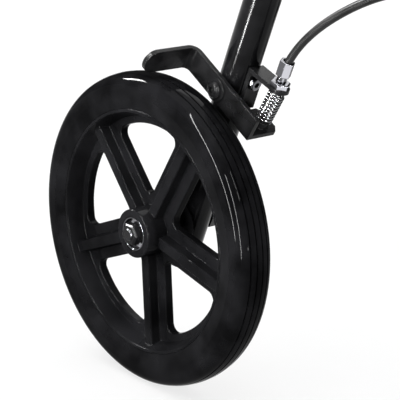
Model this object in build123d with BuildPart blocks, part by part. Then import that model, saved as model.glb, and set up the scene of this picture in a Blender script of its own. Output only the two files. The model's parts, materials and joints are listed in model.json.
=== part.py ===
"""Knee scooter: four-wheeled steerable frame, folding and telescoping steering column,
height-adjustable knee pads, and one cable brake on each rear wheel.

Millimetres. +X is forward, +Y is left, +Z is up. The origin lies on the ground, under the
centre of the scooter. Parts of the right side are drawn once and mirrored to the left.
"""
import os
from math import cos, hypot, radians, sin, sqrt, tan

from build123d import *

os.makedirs("parts", exist_ok=True)

# ------------------------------------------------------------------ driving dimensions
WHEEL_R = 101.6          # 8 inch wheels
TYRE_HALF = 13.0         # half the tyre's width
RIM_SEAT_R = 79.0        # tyre inner radius
HUB_OUT = 15.3           # hub's outboard face, from the wheel's mid-plane
HUB_IN = 21.9            # hub's inboard face, from the wheel's mid-plane
SPOKE_COUNT = 5
SPOKE_PHASE = 130.0      # degrees from forward, towards up

WHEELBASE = 550.0
REAR_X = -WHEELBASE / 2
FRONT_X = WHEELBASE / 2
REAR_Y = 190.0           # mid-planes of the rear wheels
FRONT_Y = 88.0           # mid-planes of the front wheels

TUBE_R = 11.1            # 7/8 inch frame tube
TUBE_WALL = 1.5
TUBE_Y = 156.0           # centre-line of each rear leg and rail
LEG_LEAN = 22.3          # degrees that the rear leg leans forward
LEG_BELOW = 30.0         # leg's length below the axle
LEG_ABOVE = 200.0        # from the axle to the corner of leg and rail

HEAD_LEAN = 12.0         # degrees that the steering axis leans back
HEAD_R = 20.0
STEERER_R = 14.3
PIVOT_H = 300.0          # fold hinge, along the steering axis from the front axle
COLUMN_TOP = 545.0
BAR_H = 765.0            # handlebar's centre, along the steering axis
BAR_R = 11.1
BAR_RISE = 25.0
BAR_BACK = -10.0
BAR_HALF = 205.0

SEAT_X = -75.0           # knee pad post
POST_R = 14.3
PAD_BOTTOM = 380.0
PAD_TOP = 440.0
PAD_BACK = -190.0
PAD_FRONT = 40.0
PAD_HALF = 92.0

ARM_THICK = 3.0          # brake arm and spring bracket are bent from flat bar
CABLE_R = 2.5
WIRE_R = 0.7
RUN_FIT = 0.05           # radial clearance of a running fit

AXLE_Z = WHEEL_R
RAIL_Z = AXLE_Z + LEG_ABOVE * cos(radians(LEG_LEAN))
HEAD_RAIL_X = FRONT_X - tan(radians(HEAD_LEAN)) * (RAIL_Z - AXLE_Z)
TUBE_IN = REAR_Y - TUBE_Y            # leg's centre-line, inboard of the wheel's mid-plane
LEG_FACE = TUBE_IN - TUBE_R          # leg's outboard side, same datum


def write(part, name):
    """Label a finished piece and write its STEP file."""
    part.label = name
    export_step(part, f"parts/{name}.step")


def both_sides(part):
    """The right-hand piece and its mirror image, as one group."""
    return Part(Compound([*part.solids(), *mirror(part, about=Plane.XZ).solids()]).wrapped)


# ------------------------------------------------------------------ working planes
# A wheel's own frame: X forward, Y inboard for the right wheel, Z up.
REAR_RIGHT = Location((REAR_X, -REAR_Y, AXLE_Z))
FRONT_RIGHT = Location((FRONT_X, -FRONT_Y, AXLE_Z))

# The right rear leg: x across the leg towards the front, y inboard, z up the leg.
LEG = Plane(
    origin=(REAR_X, -TUBE_Y, AXLE_Z),
    x_dir=(cos(radians(LEG_LEAN)), 0, -sin(radians(LEG_LEAN))),
    z_dir=(sin(radians(LEG_LEAN)), 0, cos(radians(LEG_LEAN))),
)

# The brake arm: x along the bar towards its front end, y inboard, z square to the bar.
ARM_DROP = 32.3
ARM = Plane(
    origin=(REAR_X, -REAR_Y, AXLE_Z),
    x_dir=(cos(radians(ARM_DROP)), 0, -sin(radians(ARM_DROP))),
    z_dir=(sin(radians(ARM_DROP)), 0, cos(radians(ARM_DROP))),
)

# The steering axis: x forward, y left, z up the axis from the front axle.
STEER = Plane(
    origin=(FRONT_X, 0, AXLE_Z),
    x_dir=(cos(radians(HEAD_LEAN)), 0, sin(radians(HEAD_LEAN))),
    z_dir=(-sin(radians(HEAD_LEAN)), 0, cos(radians(HEAD_LEAN))),
)


def at(plane, x, y, z):
    """A point given in a working plane's frame."""
    return plane.from_local_coords(Vector(x, y, z))


def across(plane, x, y, z):
    """A plane at (x, y, z) of a working plane, square to its Y axis: sketch x, z."""
    return Plane(origin=at(plane, x, y, z), x_dir=plane.x_dir, z_dir=-plane.y_dir)


def along(plane, z, x=0, y=0):
    """A plane at height z of a working plane, square to its Z axis: sketch x, y."""
    return Plane(origin=at(plane, x, y, z), x_dir=plane.x_dir, z_dir=plane.z_dir)


def facing(plane, x, y, z):
    """A plane at (x, y, z) of a working plane, square to its X axis: sketch y, z."""
    return Plane(origin=at(plane, x, y, z), x_dir=plane.y_dir, z_dir=plane.x_dir)


# ------------------------------------------------------------------ wheels
WEB_FRONT = -0.5         # the web between the spokes' ribs
WEB_BACK = 5.5
RIM_HALF = 11.3
HOLE_R = 68.5            # outer edge of the openings between spokes
SPOKE_HALF = 12.0        # half the web's width at a spoke
RIB_WIDTH = 9.0
RIB_FRONT = -7.0
RIB_BACK = 10.5
HUB_R = 15.6
BEARING_R = 11.0         # 608 bearing, 22 x 8 x 7
BEARING_W = 7.0
BEARING_SINK = 3.0       # outboard bearing, below the hub's face
SPINDLE_R = 4.0
GROOVES = (-6.6, -2.2, 2.2, 6.6)


def opening_face():
    """One rounded opening between two spokes, pointing along X."""
    half_angle = radians(180 / SPOKE_COUNT)
    apex = SPOKE_HALF / sin(half_angle)
    reach = sqrt(HOLE_R**2 - SPOKE_HALF**2) - SPOKE_HALF / tan(half_angle)
    corner = (apex + reach * cos(half_angle), reach * sin(half_angle))
    with BuildSketch() as opening:
        with BuildLine():
            Line((apex, 0), corner)
            ThreePointArc(corner, (HOLE_R, 0), (corner[0], -corner[1]))
            Line((corner[0], -corner[1]), (apex, 0))
        make_face()
        fillet(opening.vertices().sort_by(Axis.X)[0], 5)
        fillet(opening.vertices().group_by(Axis.X)[-1], 5.5)
    return opening.sketch


def make_rim():
    """Moulded five-spoke wheel body: rim, web, ribs and hub."""
    with BuildPart() as rim:
        with BuildSketch():
            with BuildLine():
                Polyline(
                    (9, BEARING_W + BEARING_SINK - HUB_OUT),
                    (BEARING_R, BEARING_W + BEARING_SINK - HUB_OUT),
                    (BEARING_R, -HUB_OUT),
                    (HUB_R, -HUB_OUT),
                    (HUB_R + 0.6, WEB_FRONT),
                    (73.2, WEB_FRONT),
                    (76.8, -RIM_HALF),
                    (RIM_SEAT_R, -RIM_HALF),
                    (RIM_SEAT_R, RIM_HALF),
                    (76.8, RIM_HALF),
                    (73.2, WEB_BACK),
                    (HUB_R + 0.6, WEB_BACK),
                    (HUB_R, HUB_IN),
                    (BEARING_R, HUB_IN),
                    (BEARING_R, HUB_IN - BEARING_W),
                    (9, HUB_IN - BEARING_W),
                    close=True,
                )
            make_face()
        revolve(axis=Axis.Y)
        with BuildSketch(Plane((0, WEB_FRONT - 1, 0), x_dir=(1, 0, 0), z_dir=(0, -1, 0))):
            with PolarLocations(0, SPOKE_COUNT, start_angle=SPOKE_PHASE + 180 / SPOKE_COUNT):
                add(opening_face())
        extrude(amount=-(WEB_BACK - WEB_FRONT + 2), mode=Mode.SUBTRACT)
        for face_y, top_y, out in ((WEB_FRONT, RIB_FRONT, -1), (WEB_BACK, RIB_BACK, 1)):
            with BuildSketch(Plane((0, face_y, 0), x_dir=(1, 0, 0), z_dir=(0, out, 0))):
                with PolarLocations(45.5, SPOKE_COUNT, start_angle=-out * SPOKE_PHASE):
                    Rectangle(61, RIB_WIDTH)
            extrude(amount=abs(top_y - face_y), taper=8)
        fillet(rim.edges().filter_by(GeomType.CIRCLE).group_by(SortBy.RADIUS)[-1], 0.5)
        hub_rims = rim.edges().filter_by(GeomType.CIRCLE).filter_by(
            lambda e: abs(e.radius - HUB_R) < 0.01
            and min(abs(e.center().Y + HUB_OUT), abs(e.center().Y - HUB_IN)) < 0.1
        )
        fillet(hub_rims, 0.8)
        for face_y, shortest in ((WEB_FRONT, 1), (WEB_BACK, 1), (RIB_FRONT, 30)):
            moulded_edges = rim.edges().filter_by(
                lambda e: abs(e.center().Y - face_y) < 0.01
                and 20 < hypot(e.center().X, e.center().Z) < 72
                and e.length > shortest
            )
            fillet(moulded_edges, 0.8)
    return rim.part


def make_tyre():
    """Solid rubber tyre with grooves around its tread."""
    with BuildPart() as tyre:
        with BuildSketch():
            with BuildLine():
                Line((RIM_SEAT_R, RIM_HALF), (RIM_SEAT_R, -RIM_HALF))
                Polyline((RIM_SEAT_R, -RIM_HALF), (88, -TYRE_HALF), (93, -TYRE_HALF))
                ThreePointArc((93, -TYRE_HALF), (97.6, -11.6), (100.2, -8))
                ThreePointArc((100.2, -8), (WHEEL_R, 0), (100.2, 8))
                ThreePointArc((100.2, 8), (97.6, 11.6), (93, TYRE_HALF))
                Polyline((93, TYRE_HALF), (88, TYRE_HALF), (RIM_SEAT_R, RIM_HALF))
            make_face()
            with Locations(*((WHEEL_R, y) for y in GROOVES)):
                Rectangle(4.4, 1.1, mode=Mode.SUBTRACT)
        revolve(axis=Axis.Y)
    return tyre.part


def make_bearings():
    """Both ball bearings of a wheel and the sleeve between their inner rings."""
    outboard = -HUB_OUT + BEARING_SINK
    inboard = HUB_IN - BEARING_W
    with BuildPart() as bearings:
        with BuildSketch(Plane((0, outboard, 0), x_dir=(1, 0, 0), z_dir=(0, 1, 0))):
            Circle(BEARING_R)
            Circle(SPINDLE_R + RUN_FIT, mode=Mode.SUBTRACT)
        extrude(amount=BEARING_W)
        with BuildSketch(Plane((0, inboard, 0), x_dir=(1, 0, 0), z_dir=(0, 1, 0))):
            Circle(BEARING_R)
            Circle(SPINDLE_R + RUN_FIT, mode=Mode.SUBTRACT)
        extrude(amount=BEARING_W)
        sleeve_start = outboard + BEARING_W + RUN_FIT
        with BuildSketch(Plane((0, sleeve_start, 0), x_dir=(1, 0, 0), z_dir=(0, 1, 0))):
            Circle(6)
            Circle(SPINDLE_R + RUN_FIT, mode=Mode.SUBTRACT)
        extrude(amount=inboard - RUN_FIT - sleeve_start)
    return bearings.part


rim, tyre, bearings = make_rim(), make_tyre(), make_bearings()
for place, wheel_at in (("rear", REAR_RIGHT), ("front", FRONT_RIGHT)):
    for name, piece in (("rim", rim), ("tyre", tyre), ("bearings", bearings)):
        right = piece.moved(wheel_at)
        write(right, f"{name}_{place}_right")
        write(mirror(right, about=Plane.XZ), f"{name}_{place}_left")

# ------------------------------------------------------------------ rear legs and rails
PIVOT_T = 102.5          # brake arm's pivot, up the leg
BRACKET_BOLT_T = 113.5
M5_R = 2.5
M6_R = 3.0
RAIL_BEND_R = 50.0
TOE_IN_X = -20.0         # where the rails turn towards the head tube
TOE_IN_R = 90.0

rail_start = at(LEG, 0, 0, -LEG_BELOW)
rail_corner = at(LEG, 0, 0, LEG_ABOVE)
rail_turn = Vector(TOE_IN_X, -TUBE_Y, RAIL_Z)
rail_end = Vector(HEAD_RAIL_X, 0, RAIL_Z)
RAIL_DIR = (rail_end - rail_turn).normalized()

with BuildPart() as rail_right:
    with BuildLine():
        rail_path = FilletPolyline(
            rail_start, rail_corner, rail_turn, rail_end, radius=[RAIL_BEND_R, TOE_IN_R]
        )
    with BuildSketch(along(LEG, -LEG_BELOW)):
        Circle(TUBE_R)
        Circle(TUBE_R - TUBE_WALL, mode=Mode.SUBTRACT)
    sweep(path=rail_path)
    with BuildSketch(across(LEG, 0, -20, 0)):
        Circle(SPINDLE_R)
        with Locations((0, PIVOT_T)):
            Circle(M6_R)
    extrude(amount=-40, mode=Mode.SUBTRACT)
    with BuildSketch(facing(LEG, 0, 0, BRACKET_BOLT_T)):
        Circle(M5_R)
    extrude(amount=20, mode=Mode.SUBTRACT)
    with BuildSketch(along(STEER, 130)):
        Circle(HEAD_R)
    extrude(amount=110, mode=Mode.SUBTRACT)
    with BuildSketch(Plane((HEAD_RAIL_X, 49.8, RAIL_Z - 30))):
        Rectangle(160, 100)
    extrude(amount=60, mode=Mode.SUBTRACT)
    for end in rail_right.solids().sort_by(Axis.X)[1:]:
        add(end, mode=Mode.SUBTRACT)
write(rail_right.part, "rail_right")
write(mirror(rail_right.part, about=Plane.XZ), "rail_left")

with BuildPart() as end_plug:
    with BuildSketch(along(LEG, -LEG_BELOW)):
        Circle(TUBE_R)
    extrude(amount=-3)
    fillet(end_plug.edges().filter_by(GeomType.CIRCLE).sort_by(Axis.Z)[0], 1.5)
    with BuildSketch(along(LEG, -LEG_BELOW)):
        Circle(TUBE_R - TUBE_WALL)
    extrude(amount=12)
write(both_sides(end_plug.part), "tube_end_plugs")

# ------------------------------------------------------------------ frame centre
SEAT_TUBE_R = 17.5
SEAT_TUBE_BOTTOM = 155.0
SEAT_TUBE_TOP = 325.0
REAR_CROSS_X = -160.0
SPINE_SIDE = 30.0
SPINE_REAR_Z = 212.0
SPINE_FRONT_Z = 250.0
SPINE_FRONT_X = 243.0
HEAD_BOTTOM = 130.0      # along the steering axis
HEAD_TOP = 240.0
CUP_FLANGE = 5.0

with BuildPart() as seat_tube:
    with BuildSketch(Plane.XY.offset(SEAT_TUBE_BOTTOM)):
        with Locations((SEAT_X, 0)):
            Circle(SEAT_TUBE_R)
            Circle(POST_R + RUN_FIT, mode=Mode.SUBTRACT)
    extrude(amount=SEAT_TUBE_TOP - SEAT_TUBE_BOTTOM)
write(seat_tube.part, "seat_tube")

with BuildPart() as head_tube:
    with BuildSketch(along(STEER, HEAD_BOTTOM)):
        Circle(HEAD_R)
        Circle(HEAD_R - 2, mode=Mode.SUBTRACT)
    extrude(amount=HEAD_TOP - HEAD_BOTTOM)
write(head_tube.part, "head_tube")

spine_run = Vector(SPINE_FRONT_X - SEAT_X, 0, SPINE_FRONT_Z - SPINE_REAR_Z)
with BuildPart() as spine:
    with BuildSketch(Plane(origin=(SEAT_X, 0, SPINE_REAR_Z), x_dir=(0, 1, 0), z_dir=spine_run)):
        RectangleRounded(SPINE_SIDE, SPINE_SIDE, 4)
        RectangleRounded(SPINE_SIDE - 4, SPINE_SIDE - 4, 2, mode=Mode.SUBTRACT)
    extrude(amount=spine_run.length)
    with BuildSketch(Plane.XY.offset(SEAT_TUBE_BOTTOM)):
        with Locations((SEAT_X, 0)):
            Circle(SEAT_TUBE_R)
    extrude(amount=SEAT_TUBE_TOP - SEAT_TUBE_BOTTOM, mode=Mode.SUBTRACT)
    with BuildSketch(along(STEER, HEAD_BOTTOM - 20)):
        Circle(HEAD_R)
    extrude(amount=HEAD_TOP - HEAD_BOTTOM, mode=Mode.SUBTRACT)
    for scrap in spine.solids().sort_by(SortBy.VOLUME)[:-1]:
        add(scrap, mode=Mode.SUBTRACT)
write(spine.part, "spine")

with BuildPart() as cross_tubes:
    for x in (REAR_CROSS_X, SEAT_X):
        with BuildSketch(Plane((x, -TUBE_Y, RAIL_Z), x_dir=(1, 0, 0), z_dir=(0, 1, 0))):
            Circle(TUBE_R)
            Circle(TUBE_R - TUBE_WALL, mode=Mode.SUBTRACT)
        extrude(amount=2 * TUBE_Y)
    for y in (-TUBE_Y, TUBE_Y):
        with BuildSketch(Plane((REAR_CROSS_X - 30, y, RAIL_Z), x_dir=(0, 1, 0), z_dir=(1, 0, 0))):
            Circle(TUBE_R)
        extrude(amount=SEAT_X - REAR_CROSS_X + 60, mode=Mode.SUBTRACT)
    with BuildSketch(Plane.XY.offset(SEAT_TUBE_BOTTOM)):
        with Locations((SEAT_X, 0)):
            Circle(SEAT_TUBE_R)
    extrude(amount=SEAT_TUBE_TOP - SEAT_TUBE_BOTTOM, mode=Mode.SUBTRACT)
    for scrap in cross_tubes.solids().sort_by(SortBy.VOLUME)[:-3]:
        add(scrap, mode=Mode.SUBTRACT)
write(cross_tubes.part, "cross_tubes")

# ------------------------------------------------------------------ rear axles and arm pivots
WASHER_W = 1.0
M8_FLATS = 13.0
M8_NUT_H = 6.5
M6_FLATS = 10.0
M6_NUT_H = 5.5
LEG_BACK = TUBE_IN + TUBE_R          # leg's inboard side
ARM_IN = LEG_FACE - WASHER_W         # brake arm's inboard face
ARM_OUT = ARM_IN - ARM_THICK
BOLT_END = -(HUB_OUT - BEARING_SINK) - M8_NUT_H - 1


def wheel_face(x, y, z):
    """A plane square to the axle, facing inboard, at a point of the rear right wheel's frame."""
    return Plane((REAR_X + x, y - REAR_Y, AXLE_Z + z), x_dir=(1, 0, 0), z_dir=(0, 1, 0))


pivot_at = at(LEG, 0, 0, PIVOT_T) - Vector(REAR_X, 0, AXLE_Z)
pivot_x, pivot_z = pivot_at.X, pivot_at.Z

with BuildPart() as axle_bolt:
    with BuildSketch(wheel_face(0, BOLT_END, 0)):
        Circle(SPINDLE_R)
    extrude(amount=LEG_BACK - BOLT_END)
    with BuildSketch(wheel_face(0, LEG_BACK, 0)):
        RegularPolygon(M8_FLATS / 2, 6, major_radius=False)
    extrude(amount=5.3)
    chamfer(axle_bolt.edges().group_by(Axis.Y)[0], 0.8)
write(both_sides(axle_bolt.part), "rear_axle_bolts")

with BuildPart() as pivot_bolt:
    with BuildSketch(wheel_face(pivot_x, ARM_OUT - WASHER_W, pivot_z)):
        Circle(M6_R)
    extrude(amount=LEG_BACK + M6_NUT_H + 1.5 - ARM_OUT + WASHER_W)
    with BuildSketch(wheel_face(pivot_x, ARM_OUT - WASHER_W - 3.3, pivot_z)):
        Circle(5.25)
    extrude(amount=3.3)
    fillet(pivot_bolt.edges().group_by(Axis.Y)[0], 2.4)
    with BuildSketch(wheel_face(pivot_x, ARM_OUT - WASHER_W - 3.3, pivot_z)):
        RegularPolygon(2, 6, major_radius=False)
    extrude(amount=2, mode=Mode.SUBTRACT)
write(both_sides(pivot_bolt.part), "arm_pivot_bolts")

with BuildPart() as lock_nuts:
    with BuildSketch(wheel_face(0, -(HUB_OUT - BEARING_SINK) - M8_NUT_H, 0)):
        RegularPolygon(M8_FLATS / 2, 6, major_radius=False)
    extrude(amount=M8_NUT_H - 1.2)
    with BuildSketch(wheel_face(0, -(HUB_OUT - BEARING_SINK) - 1.2, 0)):
        Circle(6)
    extrude(amount=1.2)
    chamfer(lock_nuts.edges().group_by(Axis.Y)[0], 1.0)
    with BuildSketch(wheel_face(0, -HUB_OUT - 10, 0)):
        Circle(SPINDLE_R)
    extrude(amount=20, mode=Mode.SUBTRACT)
    with BuildSketch(wheel_face(pivot_x, LEG_BACK, pivot_z)):
        RegularPolygon(M6_FLATS / 2, 6, major_radius=False)
        Circle(M6_R, mode=Mode.SUBTRACT)
    extrude(amount=M6_NUT_H)
write(both_sides(lock_nuts.part), "lock_nuts")

with BuildPart() as washers:
    for x, y, z, hole, outer in (
        (0, LEG_FACE - WASHER_W, 0, SPINDLE_R, 8),
        (pivot_x, LEG_FACE - WASHER_W, pivot_z, M6_R, 7.5),
        (pivot_x, ARM_OUT - WASHER_W, pivot_z, M6_R, 7.5),
    ):
        with BuildSketch(wheel_face(x, y, z)):
            Circle(outer)
            Circle(hole, mode=Mode.SUBTRACT)
        extrude(amount=WASHER_W)
write(both_sides(washers.part), "washers")

# ------------------------------------------------------------------ brake arm, spring, adjuster
ARM_BACK = -50.0         # along the bar: tab that meets the tyre
ARM_FRONT = 19.9         # along the bar: front end and flange
ARM_LOW = 93.6           # square to the bar
ARM_HIGH = 109.4
TAB_OUT = -16.6          # tab's outboard end
TAB_BEND_R = 7.0         # outside radius of the tab's bend
FLANGE_IN = 44.0         # flange's inboard end
FLANGE_BACK = -1.0
SPRING_P = 12.5          # spring's axis, along the bar
SPRING_Y = 34.5          # spring's axis, inboard
SEAT_H = 4.0
SPRING_BOTTOM = ARM_LOW + ARM_THICK + SEAT_H + 0.2
SPRING_TOP = 123.2
SPRING_R = 4.7           # to the wire's centre
SPRING_WIRE_R = 0.7
SPRING_TURNS = 9

arm_pivot = ARM.to_local_coords(at(LEG, 0, 0, PIVOT_T))
bend_p, bend_y = ARM_BACK + TAB_BEND_R, ARM_IN - TAB_BEND_R

with BuildPart() as brake_arm_right:
    with BuildSketch(along(ARM, ARM_LOW)):
        with BuildLine():
            Line((ARM_FRONT, ARM_IN), (bend_p, ARM_IN))
            CenterArc((bend_p, bend_y), TAB_BEND_R, 90, 90)
            Polyline(
                (ARM_BACK, bend_y),
                (ARM_BACK, TAB_OUT),
                (ARM_BACK + ARM_THICK, TAB_OUT),
                (ARM_BACK + ARM_THICK, bend_y),
            )
            CenterArc((bend_p, bend_y), TAB_BEND_R - ARM_THICK, 180, -90)
            Polyline((bend_p, ARM_OUT), (ARM_FRONT, ARM_OUT), (ARM_FRONT, ARM_IN))
        make_face()
    extrude(amount=ARM_HIGH - ARM_LOW)
    front_corner = brake_arm_right.edges().filter_by(Axis.Y).sort_by(
        lambda e: (e.center() - ARM.origin).dot(ARM.x_dir + ARM.z_dir)
    )[-1]
    fillet(front_corner, 1.5)
    tab_ends = brake_arm_right.edges().filter_by(
        lambda e: abs(e.center().Y + REAR_Y - TAB_OUT) < 0.1 and abs(e.length - ARM_THICK) < 0.1
    )
    fillet(tab_ends, (ARM_HIGH - ARM_LOW) / 2 - 0.3)
    with BuildSketch(along(ARM, ARM_LOW)):
        with BuildLine():
            Polyline(
                (ARM_FRONT, ARM_IN - 0.5),
                (ARM_FRONT, FLANGE_IN - 3),
                (ARM_FRONT - 4, FLANGE_IN),
                (FLANGE_BACK + 4, FLANGE_IN),
                (FLANGE_BACK, FLANGE_IN - 3),
                (FLANGE_BACK, ARM_IN - 0.5),
                close=True,
            )
        make_face()
    extrude(amount=ARM_THICK)
    with BuildSketch(along(ARM, ARM_LOW + ARM_THICK, SPRING_P, SPRING_Y)):
        Circle(4.6)
    extrude(amount=SEAT_H, taper=6)
    with BuildSketch(along(ARM, ARM_LOW, SPRING_P, SPRING_Y)):
        Circle(1.3)
    extrude(amount=ARM_THICK + SEAT_H, mode=Mode.SUBTRACT)
    with BuildSketch(across(ARM, arm_pivot.X, ARM_OUT - 1, arm_pivot.Z)):
        Circle(M6_R + RUN_FIT)
    extrude(amount=-(ARM_THICK + 2), mode=Mode.SUBTRACT)
write(brake_arm_right.part, "brake_arm_right")
write(mirror(brake_arm_right.part, about=Plane.XZ), "brake_arm_left")

spring_base = along(ARM, SPRING_BOTTOM + SPRING_WIRE_R, SPRING_P, SPRING_Y)
spring_height = SPRING_TOP - SPRING_BOTTOM - 2 * SPRING_WIRE_R
with BuildPart() as brake_spring:
    with BuildLine():
        coil = Helix(spring_height / SPRING_TURNS, spring_height, SPRING_R)
    with BuildSketch(Plane(origin=coil @ 0, z_dir=coil % 0)):
        Circle(SPRING_WIRE_R)
    sweep(path=coil, is_frenet=True)
spring_right = brake_spring.part.moved(spring_base.location)
write(spring_right, "brake_spring_right")
write(mirror(spring_right, about=Plane.XZ), "brake_spring_left")

BRACKET_W = 11.5
BRACKET_LOW = 95.0       # up the leg
BRACKET_HIGH = 123.5
BRACKET_REACH = 40.0     # from the leg's centre-line
BRACKET_Y = 0.5          # from the leg's centre-line
ADJUSTER_S = 33.8        # adjuster's axis, from the leg's centre-line
NUT_TOP = 127.0
BARREL_LOW = 131.0
BARREL_TOP = 141.0

with BuildPart() as spring_bracket:
    with BuildSketch(across(LEG, 0, BRACKET_Y - BRACKET_W / 2, 0)):
        with BuildLine():
            Polyline(
                (TUBE_R, BRACKET_LOW),
                (TUBE_R, BRACKET_HIGH),
                (BRACKET_REACH, BRACKET_HIGH),
                (BRACKET_REACH, BRACKET_HIGH - ARM_THICK),
                (TUBE_R + ARM_THICK, BRACKET_HIGH - ARM_THICK),
                (TUBE_R + ARM_THICK, BRACKET_LOW),
                close=True,
            )
        make_face()
    extrude(amount=-BRACKET_W)
    reach_ends = spring_bracket.edges().filter_by(
        lambda e: abs(LEG.to_local_coords(e.center()).X - BRACKET_REACH) < 0.1
        and abs(e.length - ARM_THICK) < 0.1
    )
    fillet(reach_ends, 5)
    with BuildSketch(along(LEG, BRACKET_HIGH - 10, ADJUSTER_S)):
        Circle(M6_R)
    extrude(amount=20, mode=Mode.SUBTRACT)
    with BuildSketch(facing(LEG, 0, 0, BRACKET_BOLT_T)):
        Circle(M5_R)
    extrude(amount=20, mode=Mode.SUBTRACT)
write(both_sides(spring_bracket.part), "spring_brackets")

with BuildPart() as bracket_bolt:
    with BuildSketch(facing(LEG, -2, 0, BRACKET_BOLT_T)):
        Circle(M5_R)
    extrude(amount=TUBE_R + ARM_THICK + 2)
    with BuildSketch(facing(LEG, TUBE_R + ARM_THICK, 0, BRACKET_BOLT_T)):
        Circle(4.75)
    extrude(amount=2.8)
    bolt_rim = bracket_bolt.edges().filter_by(GeomType.CIRCLE).sort_by(
        lambda e: LEG.to_local_coords(e.center()).X
    )[-1]
    fillet(bolt_rim, 1.8)
    with BuildSketch(facing(LEG, TUBE_R + ARM_THICK + 1, 0, BRACKET_BOLT_T)):
        RegularPolygon(1.6, 6, major_radius=False)
    extrude(amount=3, mode=Mode.SUBTRACT)
write(both_sides(bracket_bolt.part), "bracket_bolts")

with BuildPart() as lock_ring:
    with BuildSketch(along(LEG, BRACKET_HIGH, ADJUSTER_S)):
        RegularPolygon(5.5, 6, major_radius=False)
        Circle(M6_R, mode=Mode.SUBTRACT)
    extrude(amount=NUT_TOP - BRACKET_HIGH)
    chamfer(lock_ring.edges().filter_by(GeomType.LINE).group_by(
        lambda e: round(LEG.to_local_coords(e.center()).Z, 1))[-1], 0.7)
write(both_sides(lock_ring.part), "adjuster_locknuts")

with BuildPart() as adjuster:
    with BuildSketch(along(LEG, BRACKET_HIGH - ARM_THICK - 1, ADJUSTER_S)):
        Circle(M6_R)
    extrude(amount=BARREL_LOW - BRACKET_HIGH + ARM_THICK + 1)
    with BuildSketch(along(LEG, BARREL_LOW, ADJUSTER_S)):
        RegularPolygon(4.1, 6, major_radius=False)
    extrude(amount=BARREL_TOP - BARREL_LOW)
    chamfer(adjuster.edges().filter_by(GeomType.LINE).group_by(
        lambda e: round(LEG.to_local_coords(e.center()).Z, 1))[-1], 0.6)
    with BuildSketch(along(LEG, BRACKET_HIGH - 20, ADJUSTER_S)):
        Circle(1.3)
    extrude(amount=30, mode=Mode.SUBTRACT)
    with BuildSketch(along(LEG, BARREL_LOW, ADJUSTER_S)):
        Circle(CABLE_R + 0.2)
    extrude(amount=20, mode=Mode.SUBTRACT)
write(both_sides(adjuster.part), "barrel_adjusters")

wire_low = at(ARM, SPRING_P, SPRING_Y, ARM_LOW - 1)
wire_bend = at(LEG, ADJUSTER_S, 0, BRACKET_HIGH - 5)
wire_top = at(LEG, ADJUSTER_S, 0, BARREL_LOW - 0.5)
with BuildPart() as inner_wire_right:
    with BuildLine():
        wire_path = FilletPolyline(wire_low, wire_bend, wire_top, radius=[25])
    with BuildSketch(Plane(origin=wire_low, z_dir=wire_bend - wire_low)):
        Circle(WIRE_R)
    sweep(path=wire_path)
    with BuildSketch(Plane(origin=wire_low, z_dir=wire_low - wire_bend)):
        Circle(2.6)
    extrude(amount=4)
    fillet(inner_wire_right.edges().filter_by(GeomType.CIRCLE).sort_by(Axis.Z)[0], 0.8)
write(inner_wire_right.part, "inner_wire_right")
write(mirror(inner_wire_right.part, about=Plane.XZ), "inner_wire_left")

# ------------------------------------------------------------------ headset and fork
BEARING_BORE = STEERER_R + RUN_FIT
CROWN_TOP = HEAD_BOTTOM - CUP_FLANGE - 0.3
AXLE_TUBE_R = 15.0
AXLE_TUBE_HALF = 63.0
BOSS_R = 7.0

with BuildPart() as headset_cups:
    for face, out in ((HEAD_BOTTOM, -1), (HEAD_TOP, 1)):
        with BuildSketch(along(STEER, face)):
            Circle(HEAD_R + 1.5)
            Circle(HEAD_R - 4, mode=Mode.SUBTRACT)
        extrude(amount=out * CUP_FLANGE)
        with BuildSketch(along(STEER, face)):
            Circle(HEAD_R - 2)
            Circle(HEAD_R - 4, mode=Mode.SUBTRACT)
        extrude(amount=-out * 12)
write(headset_cups.part, "headset_cups")

with BuildPart() as headset_bearings:
    for face, out in ((HEAD_BOTTOM, -1), (HEAD_TOP, 1)):
        with BuildSketch(along(STEER, face + out * CUP_FLANGE)):
            Circle(HEAD_R - 4)
            Circle(BEARING_BORE, mode=Mode.SUBTRACT)
        extrude(amount=-out * 10)
write(headset_bearings.part, "headset_bearings")

with BuildPart() as fork:
    with BuildSketch(across(STEER, 0, -FRONT_Y + HUB_IN, 0)):
        Circle(BOSS_R)
    extrude(amount=-2 * (FRONT_Y - HUB_IN))
    with BuildSketch(across(STEER, 0, -AXLE_TUBE_HALF, 0)):
        Circle(AXLE_TUBE_R)
    extrude(amount=-2 * AXLE_TUBE_HALF)
    with BuildSketch(along(STEER, 0)):
        Circle(HEAD_R - 1)
    extrude(amount=CROWN_TOP)
    with BuildSketch(along(STEER, CROWN_TOP - 8)):
        Circle(HEAD_R + 1.5)
    extrude(amount=8)
    with BuildSketch(along(STEER, CROWN_TOP)):
        Circle(STEERER_R)
    extrude(amount=PIVOT_H - 18 - CROWN_TOP)
    with BuildSketch(facing(STEER, -3, 0, 0)):
        with BuildLine():
            Polyline((-52, 8), (52, 8), (14, 62), (-14, 62), close=True)
        make_face()
    extrude(amount=6)
    with BuildSketch(across(STEER, 0, -FRONT_Y, 0)):
        Circle(SPINDLE_R)
    extrude(amount=-2 * FRONT_Y, mode=Mode.SUBTRACT)
    with BuildSketch(along(STEER, 30)):
        Circle(STEERER_R - 3)
    extrude(amount=PIVOT_H, mode=Mode.SUBTRACT)
write(fork.part, "fork")

with BuildPart() as front_axle_bolt:
    with BuildSketch(across(STEER, 0, -FRONT_Y - HUB_OUT + BEARING_SINK, 0)):
        Circle(SPINDLE_R)
    extrude(amount=-(HUB_OUT + 55))
    with BuildSketch(across(STEER, 0, -FRONT_Y - HUB_OUT + BEARING_SINK - M8_NUT_H, 0)):
        RegularPolygon(M8_FLATS / 2, 6, major_radius=False)
    extrude(amount=-M8_NUT_H)
    chamfer(front_axle_bolt.edges().group_by(Axis.Y)[0], 1.0)
write(both_sides(front_axle_bolt.part), "front_axle_bolts")

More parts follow.
